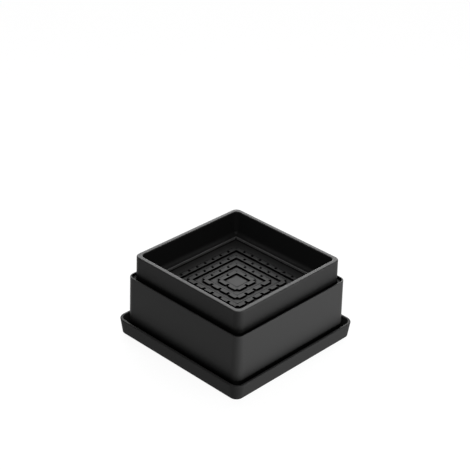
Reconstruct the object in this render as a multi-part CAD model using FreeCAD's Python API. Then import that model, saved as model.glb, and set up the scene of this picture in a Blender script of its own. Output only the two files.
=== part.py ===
"""Square bed riser in four pieces that stand in one another.

A low rubber foot has an upturned lip. A hollow square block stands in it and carries the load on a
grid of ribs. An open-topped cup stands in the top of the block and takes the leg of the bed, which
rests on a grip pad with a relief of notched concentric squares.

Units are millimetres. +Z is up. The origin is the centre of the underside of the foot.
"""
import FreeCAD, Part
import math
import os

# Foot: the low tray at the bottom; the side of its lip sets the width of everything above it
foot_lip_side = 142.0
foot_flare = 2.0
foot_height = 14.0
foot_floor = 4.5
foot_lip_thickness = 2.2
foot_corner_radius = 8.5
foot_lip_rounding = 0.7
foot_bottom_rounding = 0.9

# Block: the hollow body that carries the load, set in from the lip of the foot
block_inset = 6.1
block_height = 50.0
block_draft = 1.0
block_corner_radius = 6.0
block_deck = 4.0
block_lip_thickness = 1.4
block_lip_height = 2.0
block_lip_rounding = 0.5
cup_pocket_depth = 7.5

# Ribs under the block's deck
cell_count = 9
block_wall = 4.2
rib_thickness = 2.0

# Cup: the open box that holds the leg of the bed, set in from the top of the block
cup_inset = 3.55
cup_height = 27.0
cup_draft = 1.0
cup_wall = 4.0
cup_floor = 5.5
cup_corner_radius = 5.6
cup_inner_radius = 4.0
cup_rim_rounding = 0.9
cup_cove_radius = 3.2

# Grip pad: the sheet let into the floor of the cup
pad_inset = 5.2
pad_recess_radius = 2.5
pad_recess_depth = 3.0
pad_sheet = 1.5
ring_count = 4
ring_first_half_side = 10.1
ring_inset = 12.8
ring_width = 3.8
ring_height = 1.0
notch_width = 2.4
notch_depth = 2.6

# Clearances between the pieces
block_clearance = 0.3
cup_clearance = 0.3
pad_clearance = 0.6

# Heights that follow from the sizes above
block_bottom_z = foot_floor
block_top_z = block_bottom_z + block_height
ledge_z = block_top_z - block_lip_height
cup_bottom_z = block_top_z - cup_pocket_depth
deck_underside_z = cup_bottom_z - block_deck
cup_top_z = cup_bottom_z + cup_height
cup_floor_z = cup_bottom_z + cup_floor
pad_bottom_z = cup_floor_z - pad_recess_depth
pad_sheet_z = pad_bottom_z + pad_sheet
ring_top_z = pad_sheet_z + ring_height

# Sides that follow from the foot inward, with the draft of the walls
foot_bottom_side = foot_lip_side - 2.0 * foot_flare
block_bottom_side = foot_lip_side - 2.0 * block_inset
block_top_side = block_bottom_side - 2.0 * block_height * math.tan(math.radians(block_draft))
cup_bottom_side = block_top_side - 2.0 * cup_inset
cup_top_side = cup_bottom_side - 2.0 * cup_height * math.tan(math.radians(cup_draft))
cup_inner_top_side = cup_top_side - 2.0 * cup_wall
cup_cavity_depth = cup_height - cup_floor
cup_inner_floor_side = cup_inner_top_side - 2.0 * cup_cavity_depth * math.tan(math.radians(cup_draft))
pad_recess_side = cup_inner_floor_side - 2.0 * pad_inset
pad_side = pad_recess_side - 2.0 * pad_clearance

# Spacings that share out those sides
cell_pitch = (block_bottom_side - 2.0 * block_wall + rib_thickness) / cell_count
cell_side = cell_pitch - rib_thickness
ring_last_half_side = pad_side / 2.0 - ring_inset
ring_spacing = (ring_last_half_side - ring_first_half_side) / (ring_count - 1)

# Heights closer together than this are the same height
LEVEL = 1e-4


def rounded_square(side, radius, z):
    """A closed wire: a square of this side about the axis, with round corners."""
    half = side / 2.0
    straight = half - radius
    wires = []
    for quarter in range(4):
        turn = math.radians(90.0 * quarter)
        run_start = turned(half, -straight, turn, z)
        run_end = turned(half, straight, turn, z)
        diagonal = radius / math.sqrt(2.0)
        arc_middle = turned(straight + diagonal, straight + diagonal, turn, z)
        arc_end = turned(straight, half, turn, z)
        wires.append(Part.LineSegment(run_start, run_end).toShape())
        wires.append(Part.Arc(run_end, arc_middle, arc_end).toShape())
    return Part.Wire(wires)


def turned(x, y, angle, z):
    """The point (x, y) turned about the axis, at height z."""
    along = x * math.cos(angle) - y * math.sin(angle)
    across = x * math.sin(angle) + y * math.cos(angle)
    return FreeCAD.Vector(along, across, z)


def tapered(lower_side, upper_side, lower_z, upper_z, upper_radius):
    """A solid between two rounded squares: flat sloping sides and conical corners, each on one axis."""
    straight = upper_side / 2.0 - upper_radius
    lower_half = lower_side / 2.0
    upper_half = upper_side / 2.0
    faces = [
        Part.Face(rounded_square(lower_side, lower_half - straight, lower_z)),
        Part.Face(rounded_square(upper_side, upper_radius, upper_z)),
    ]
    for quarter in range(4):
        turn = math.radians(90.0 * quarter)
        lower_start = turned(lower_half, -straight, turn, lower_z)
        lower_end = turned(lower_half, straight, turn, lower_z)
        upper_end = turned(upper_half, straight, turn, upper_z)
        upper_start = turned(upper_half, -straight, turn, upper_z)
        side = Part.makePolygon([lower_start, lower_end, upper_end, upper_start, lower_start])
        faces.append(Part.Face(side))
        slope = Part.LineSegment(lower_end, upper_end).toShape()
        centre = turned(straight, straight, turn, 0.0)
        faces.append(slope.revolve(centre, FreeCAD.Vector(0, 0, 1), 90.0))
    shell = Part.makeShell(faces)
    shell.sewShape()
    if Part.makeSolid(shell).Volume < 0.0:
        shell.reverse()
    return Part.makeSolid(shell)


def straight_sided(side, lower_z, upper_z, radius):
    """An upright prism on a rounded square."""
    face = Part.Face(rounded_square(side, radius, lower_z))
    return face.extrude(FreeCAD.Vector(0, 0, upper_z - lower_z))


def upright_box(x_size, y_size, lower_z, upper_z, x=0.0, y=0.0):
    """A plain box with its middle at (x, y)."""
    corner = FreeCAD.Vector(x - x_size / 2.0, y - y_size / 2.0, lower_z)
    return Part.makeBox(x_size, y_size, upper_z - lower_z, corner)


def level_edges(shape, z):
    """The edges that lie flat at height z."""
    found = []
    for edge in shape.Edges:
        box = edge.BoundBox
        if abs(box.ZMin - z) < LEVEL and abs(box.ZMax - z) < LEVEL:
            found.append(edge)
    return found


def make_foot():
    """The tray: its lip leans outward, and its pocket narrows down to the foot of the block."""
    outside = tapered(foot_bottom_side, foot_lip_side, 0.0, foot_height, foot_corner_radius)
    pocket_floor_side = block_bottom_side + 2.0 * block_clearance
    pocket_top_side = foot_lip_side - 2.0 * foot_lip_thickness
    pocket_radius = foot_corner_radius - foot_lip_thickness
    pocket = tapered(pocket_floor_side, pocket_top_side, foot_floor, foot_height, pocket_radius)
    foot = outside.cut(pocket)
    foot = foot.makeFillet(foot_lip_rounding, level_edges(foot, foot_height))
    return foot.makeFillet(foot_bottom_rounding, level_edges(foot, 0.0))


def make_block():
    """The body: a drafted shell with a lipped pocket for the cup on top and ribs below its deck."""
    block = tapered(block_bottom_side, block_top_side, block_bottom_z, block_top_z, block_corner_radius)
    ledge_side = block_top_side - 2.0 * block_lip_thickness
    ledge_radius = block_corner_radius - block_lip_thickness
    block = block.cut(straight_sided(ledge_side, ledge_z, block_top_z, ledge_radius))
    pocket_side = cup_bottom_side + 2.0 * cup_clearance
    pocket_radius = cup_corner_radius + (cup_bottom_side - cup_top_side) / 2.0 + cup_clearance
    block = block.cut(straight_sided(pocket_side, cup_bottom_z, block_top_z, pocket_radius))
    block = block.makeFillet(block_lip_rounding, level_edges(block, block_top_z))
    return block.cut(rib_cells())


def rib_cells():
    """The square cells between the ribs, open at the foot of the block."""
    middle = (cell_count - 1) / 2.0
    cells = []
    for column in range(cell_count):
        for row in range(cell_count):
            x = (column - middle) * cell_pitch
            y = (row - middle) * cell_pitch
            cells.append(upright_box(cell_side, cell_side, block_bottom_z, deck_underside_z, x, y))
    return Part.makeCompound(cells)


def make_cup():
    """The open box: drafted walls, a round rim, a cove at the foot of the walls and a pad recess."""
    outside = tapered(cup_bottom_side, cup_top_side, cup_bottom_z, cup_top_z, cup_corner_radius)
    cavity = tapered(cup_inner_floor_side, cup_inner_top_side, cup_floor_z, cup_top_z, cup_inner_radius)
    cup = outside.cut(cavity)
    cup = cup.makeFillet(cup_cove_radius, level_edges(cup, cup_floor_z))
    cup = cup.makeFillet(cup_rim_rounding, level_edges(cup, cup_top_z))
    return cup.cut(straight_sided(pad_recess_side, pad_bottom_z, cup_floor_z, pad_recess_radius))


def make_pad():
    """The grip pad: a thin sheet with square rings on it, each notched at even steps."""
    pad = straight_sided(pad_side, pad_bottom_z, pad_sheet_z, pad_recess_radius - pad_clearance)
    rings = []
    for number in range(ring_count):
        rings.append(notched_ring(ring_first_half_side + number * ring_spacing, number + 1))
    return pad.fuse(rings).removeSplitter()


def notched_ring(half_side, steps):
    """One low square ring, with notches into its outer edge at the corners and at even steps between."""
    outer_half = half_side + ring_width / 2.0
    inner_half = half_side - ring_width / 2.0
    ring = upright_box(2.0 * outer_half, 2.0 * outer_half, pad_bottom_z, ring_top_z)
    ring = ring.cut(upright_box(2.0 * inner_half, 2.0 * inner_half, pad_bottom_z, ring_top_z))
    notch_place = outer_half - notch_depth / 2.0
    notches = []
    for side in (-notch_place, notch_place):
        notches.append(upright_box(notch_depth, notch_depth, pad_sheet_z, ring_top_z, side, side))
        notches.append(upright_box(notch_depth, notch_depth, pad_sheet_z, ring_top_z, side, -side))
        for step in range(-steps + 1, steps):
            along = step * half_side / steps
            notches.append(upright_box(notch_width, notch_depth, pad_sheet_z, ring_top_z, along, side))
            notches.append(upright_box(notch_depth, notch_width, pad_sheet_z, ring_top_z, side, along))
    return ring.cut(Part.makeCompound(notches))


def write_parts():
    """Writes each piece to a file of its own."""
    os.makedirs("parts", exist_ok=True)
    pieces = {
        "foot": make_foot(),
        "block": make_block(),
        "cup": make_cup(),
        "grip_pad": make_pad(),
    }
    for name, shape in pieces.items():
        print(name, len(shape.Solids), "solid", round(shape.Volume / 1000.0, 1), "cubic centimetres", shape.isValid())
        shape.exportStep("parts/" + name + ".step")


write_parts()
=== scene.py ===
"""A black square bed riser on a plain white floor, seen from above one corner."""
import math

import bpy
from mathutils import Matrix, Vector


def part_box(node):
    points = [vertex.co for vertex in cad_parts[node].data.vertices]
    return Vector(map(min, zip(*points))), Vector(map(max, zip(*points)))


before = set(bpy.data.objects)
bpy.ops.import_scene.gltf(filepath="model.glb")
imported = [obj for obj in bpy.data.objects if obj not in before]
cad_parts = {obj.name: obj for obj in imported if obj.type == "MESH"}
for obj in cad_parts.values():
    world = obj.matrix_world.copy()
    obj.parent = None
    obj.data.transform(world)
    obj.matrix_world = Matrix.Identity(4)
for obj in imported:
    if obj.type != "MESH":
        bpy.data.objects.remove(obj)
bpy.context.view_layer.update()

# The photograph's side and the focal length of its lens, in pixels; the sensor's width is in millimetres
image_size = 470
focal_length = 1365.7
sensor_width = 36.0

# Where the camera stands, seen from the middle of the cup's rim: its side, height and tilt in degrees,
# and its distance and how far it is shifted sideways and upward in metres
camera_azimuth = 43.644
camera_elevation = 29.583
camera_roll = 1.724
camera_distance = 1.11813
camera_right = -0.002095
camera_up = 0.018211

# The shade of each piece: linear, and the same in all three channels, because the riser is a neutral black
block_shade = 0.0225
# The cup is the block's plastic; its shade and its gloss are set lower, as painted shade
cup_shade = 0.015
foot_shade = 0.015
pad_shade = 0.022

# How rough the surfaces are and how much they mirror, which is little because all around them is white
plastic_roughness = 0.42
rubber_roughness = 0.50
block_gloss = 0.09
cup_gloss = 0.08
foot_gloss = 0.05
pad_gloss = 0.09

# The moulded grain and the softness of the edges, with lengths in metres
grain_scale = 2500.0
grain_detail = 3.0
grain_strength = 0.15
grain_depth = 0.0001
edge_radius = 0.0005
edge_samples = 6

# Kinds of painted crevice shade: from how far away another surface is felt, in metres, how open a place is
# where the painted shade is darkest and where it ends, and how much of the piece's shade is left there
in_body = dict(reach=0.025, darkest_at=0.35, full_at=0.98, left=0.25)
in_cup = dict(reach=0.06, darkest_at=0.75, full_at=1.0, left=0.65)
in_pad = dict(reach=0.06, darkest_at=0.75, full_at=1.0, left=0.45)
in_gap = dict(reach=0.004, darkest_at=0.35, full_at=0.98, left=0.25)
on_ledge = dict(reach=0.02, darkest_at=0.8, full_at=1.0, left=0.3)
in_notch = dict(reach=0.0025, darkest_at=0.88, full_at=1.0, left=0.0)
crevice_samples = 12

# The cup's cavity begins this far inside its box. The edge of the recess lies this far outside the pad,
# and a painted highlight lies on it, this strong and this wide to each side. Lengths are in metres
cavity_inset = 0.0025
recess_offset = 0.00077
recess_painted_highlight = 7.0
painted_highlight_reach = 0.0005

# The floor and the room give off white light
white = (1.0, 1.0, 1.0, 1.0)

# The floor is pale; the camera and reflections see more light from it, so it is white outside the shadow
floor_side = 8.0
floor_shade = 0.2
floor_roughness = 0.9
floor_lift = 0.87

# The room: a dim even part and a pale side behind the object, which the upper faces mirror. Reflections see
# the pale side brighter by its gleam. It starts and is full at these nearnesses to its direction, as cosines
room_dim = 0.08
room_pale = 2.6
pale_gleam = 6.0
pale_direction = (-0.60, 0.63, 0.49)
pale_from = 0.65
pale_to = 0.95

# Both lamps look at this place inside the riser; places and sizes are in metres and powers in watts
lamp_target = (0.0, 0.0, 0.035)

# The side lamp is low and wide; the walls of the cup keep it off the inside
side_place = (0.55, 0.1, 0.035)
side_width = 0.6
side_height = 0.06
side_power = 4.6

# The top lamp is broad and high on the camera's side, and lights the rims and the inside of the cup
top_place = (0.5, -0.5, 0.95)
top_side = 0.5
top_power = 6.0


def rim_centre():
    """The middle of the rim of the cup."""
    return Vector((0.0, 0.0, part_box("cup")[1][2]))


def add_camera():
    """A camera at the photograph's viewing angle."""
    azimuth = math.radians(camera_azimuth)
    elevation = math.radians(camera_elevation)
    level = math.cos(elevation)
    back = Vector((math.sin(azimuth) * level, -math.cos(azimuth) * level, math.sin(elevation)))
    right = Vector((math.cos(azimuth), math.sin(azimuth), 0.0))
    up = back.cross(right)
    roll = math.radians(camera_roll)
    rolled_right = right * math.cos(roll) + up * math.sin(roll)
    rolled_up = up * math.cos(roll) - right * math.sin(roll)
    place = rim_centre() + back * camera_distance + rolled_right * camera_right + rolled_up * camera_up
    data = bpy.data.cameras.new("camera")
    data.sensor_width = sensor_width
    data.lens = focal_length / image_size * sensor_width
    camera = bpy.data.objects.new("camera", data)
    axes = Matrix((rolled_right, rolled_up, back)).transposed()
    camera.matrix_world = Matrix.Translation(place) @ axes.to_4x4()
    bpy.context.scene.collection.objects.link(camera)
    bpy.context.scene.camera = camera


def feed(links, value, socket):
    """Gives a socket its value, which is a number or the output of another node."""
    if isinstance(value, bpy.types.NodeSocket):
        links.new(value, socket)
    else:
        socket.default_value = value


def maths(nodes, links, operation, *values):
    """What this operation makes of the values, which are numbers or the outputs of other nodes."""
    node = nodes.new("ShaderNodeMath")
    node.operation = operation
    for value, socket in zip(values, node.inputs):
        feed(links, value, socket)
    return node.outputs["Value"]


def smooth_step(nodes, links, value, start, end, low, high):
    """A level that goes smoothly from low to high while the value goes from start to end."""
    node = nodes.new("ShaderNodeMapRange")
    node.interpolation_type = "SMOOTHSTEP"
    feed(links, value, node.inputs["Value"])
    feed(links, start, node.inputs["From Min"])
    feed(links, end, node.inputs["From Max"])
    feed(links, low, node.inputs["To Min"])
    feed(links, high, node.inputs["To Max"])
    return node.outputs["Result"]


def painted_crevice_shade(nodes, links, crevice, alone):
    """The painted shade in a crevice, as the share of the shade left there; if alone, other pieces paint
    none.
    """
    open_sky = nodes.new("ShaderNodeAmbientOcclusion")
    open_sky.samples = crevice_samples
    open_sky.only_local = alone
    open_sky.inputs["Distance"].default_value = crevice["reach"]
    sky = open_sky.outputs["AO"]
    return smooth_step(nodes, links, sky, crevice["darkest_at"], crevice["full_at"], crevice["left"], 1.0)


def from_axis(nodes, links, place):
    """How far a place is from the upright axis, along X or Y, whichever is more."""
    parts = nodes.new("ShaderNodeSeparateXYZ")
    links.new(place.outputs["Object"], parts.inputs["Vector"])
    along_x = maths(nodes, links, "ABSOLUTE", parts.outputs["X"])
    along_y = maths(nodes, links, "ABSOLUTE", parts.outputs["Y"])
    return maths(nodes, links, "MAXIMUM", along_x, along_y)


def on_cup(nodes, links, place, outside, inside):
    """One painted shade outside the cup, another in its cavity, a painted highlight on the recess's edge."""
    distance = from_axis(nodes, links, place)
    cavity_half_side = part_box("cup")[1][0] - cavity_inset
    recess_half_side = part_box("grip_pad")[1][0] + recess_offset
    level = nodes.new("ShaderNodeMix")
    links.new(maths(nodes, links, "LESS_THAN", distance, cavity_half_side), level.inputs["Factor"])
    links.new(outside, level.inputs["A"])
    links.new(inside, level.inputs["B"])
    edge = maths(nodes, links, "COMPARE", distance, recess_half_side, painted_highlight_reach)
    return maths(nodes, links, "MULTIPLY_ADD", edge, recess_painted_highlight, level.outputs["Result"])


def grained(nodes, links, place):
    """The direction that the surface faces, with a fine grain and soft edges."""
    grain = nodes.new("ShaderNodeTexNoise")
    grain.inputs["Scale"].default_value = grain_scale
    grain.inputs["Detail"].default_value = grain_detail
    soft_edge = nodes.new("ShaderNodeBevel")
    soft_edge.samples = edge_samples
    soft_edge.inputs["Radius"].default_value = edge_radius
    bump = nodes.new("ShaderNodeBump")
    bump.inputs["Strength"].default_value = grain_strength
    bump.inputs["Distance"].default_value = grain_depth
    links.new(place.outputs["Object"], grain.inputs["Vector"])
    links.new(grain.outputs["Fac"], bump.inputs["Height"])
    links.new(soft_edge.outputs["Normal"], bump.inputs["Normal"])
    return bump.outputs["Normal"]


def moulded_material(name, shade, roughness, gloss, wide, fine, ledge=None, alone=False):
    """A neutral moulding with a fine grain and soft edges, and painted shade and less gloss in crevices."""
    material = bpy.data.materials.new(name)
    material.use_nodes = True
    nodes = material.node_tree.nodes
    links = material.node_tree.links
    shader = nodes["Principled BSDF"]
    place = nodes.new("ShaderNodeTexCoord")
    shader.inputs["Roughness"].default_value = roughness
    links.new(grained(nodes, links, place), shader.inputs["Normal"])

    wide_level = painted_crevice_shade(nodes, links, wide, alone)
    fine_level = painted_crevice_shade(nodes, links, fine, alone)
    if ledge:
        ledge_level = painted_crevice_shade(nodes, links, ledge, alone)
        fine_level = on_cup(nodes, links, place, ledge_level, fine_level)
    # Painted crevice shade, and on the cup a painted highlight, scale the colour and the gloss
    level = maths(nodes, links, "MULTIPLY", wide_level, fine_level)
    tone = nodes.new("ShaderNodeVectorMath")
    tone.operation = "SCALE"
    tone.inputs[0].default_value = (shade, shade, shade)
    links.new(level, tone.inputs["Scale"])
    links.new(tone.outputs["Vector"], shader.inputs["Base Color"])
    shader.inputs["Specular IOR Level"].default_value = gloss
    links.new(maths(nodes, links, "MULTIPLY", level, gloss), shader.inputs["Specular IOR Level"])
    return material


def dress(node, material):
    """Gives a node of the frame its material."""
    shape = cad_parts[node]
    shape.data.materials.clear()
    shape.data.materials.append(material)


def dress_riser():
    """A material for each of the four pieces; the floor and the block paint no shade on the foot."""
    cup_plastic = moulded_material(
        "cup_plastic", cup_shade, plastic_roughness, cup_gloss, wide=in_cup, fine=in_gap, ledge=on_ledge
    )
    block_plastic = moulded_material(
        "block_plastic", block_shade, plastic_roughness, block_gloss, wide=in_body, fine=in_gap
    )
    foot_rubber = moulded_material(
        "foot_rubber", foot_shade, rubber_roughness, foot_gloss, wide=in_body, fine=in_gap, alone=True
    )
    pad_rubber = moulded_material(
        "pad_rubber", pad_shade, rubber_roughness, pad_gloss, wide=in_pad, fine=in_notch
    )
    dress("cup", cup_plastic)
    dress("block", block_plastic)
    dress("foot", foot_rubber)
    dress("grip_pad", pad_rubber)


def area_light(name, place, width, height, power):
    """A soft lamp, as wide and high as this, that looks at the lamps' common target."""
    data = bpy.data.lights.new(name, "AREA")
    data.shape = "RECTANGLE"
    data.size = width
    data.size_y = height
    data.energy = power
    lamp = bpy.data.objects.new(name, data)
    lamp.location = place
    lamp.rotation_euler = (Vector(place) - Vector(lamp_target)).to_track_quat("Z", "Y").to_euler()
    bpy.context.scene.collection.objects.link(lamp)


def seen_directly(nodes, links):
    """1 where the camera looks at the background, straight or by reflection or through glass, otherwise 0."""
    path = nodes.new("ShaderNodeLightPath")
    mirrored = maths(nodes, links, "MAXIMUM", path.outputs["Is Camera Ray"], path.outputs["Is Glossy Ray"])
    return maths(nodes, links, "MAXIMUM", mirrored, path.outputs["Is Transmission Ray"])


def add_floor():
    """A pale floor that looks white, straight or in reflections, apart from the shadow on it."""
    bpy.ops.mesh.primitive_plane_add(size=floor_side)
    floor = bpy.context.object
    floor.name = "floor"
    material = bpy.data.materials.new("floor")
    material.use_nodes = True
    nodes = material.node_tree.nodes
    links = material.node_tree.links
    shader = nodes["Principled BSDF"]
    shader.inputs["Base Color"].default_value = (floor_shade, floor_shade, floor_shade, 1.0)
    shader.inputs["Roughness"].default_value = floor_roughness
    shader.inputs["Specular IOR Level"].default_value = 0.0
    shader.inputs["Emission Color"].default_value = white
    lift = maths(nodes, links, "MULTIPLY", seen_directly(nodes, links), floor_lift)
    links.new(lift, shader.inputs["Emission Strength"])
    floor.data.materials.append(material)


def add_world():
    """A dim room with one pale side; the camera and reflections see it as white or brighter."""
    world = bpy.data.worlds.new("world")
    world.use_nodes = True
    nodes = world.node_tree.nodes
    links = world.node_tree.links
    background = nodes["Background"]
    background.inputs["Color"].default_value = white
    place = nodes.new("ShaderNodeTexCoord")
    along = nodes.new("ShaderNodeVectorMath")
    along.operation = "DOT_PRODUCT"
    along.inputs[1].default_value = pale_direction
    links.new(place.outputs["Generated"], along.inputs[0])
    path = nodes.new("ShaderNodeLightPath")
    pale = maths(nodes, links, "MULTIPLY_ADD", path.outputs["Is Glossy Ray"], pale_gleam, room_pale)
    level = smooth_step(nodes, links, along.outputs["Value"], pale_from, pale_to, room_dim, pale)
    strength = maths(nodes, links, "MAXIMUM", level, seen_directly(nodes, links))
    links.new(strength, background.inputs["Strength"])
    bpy.context.scene.world = world


add_camera()
dress_riser()
add_floor()
add_world()
area_light("top", top_place, top_side, top_side, top_power)
area_light("side", side_place, side_width, side_height, side_power)
bpy.context.scene.view_settings.view_transform = "Standard"
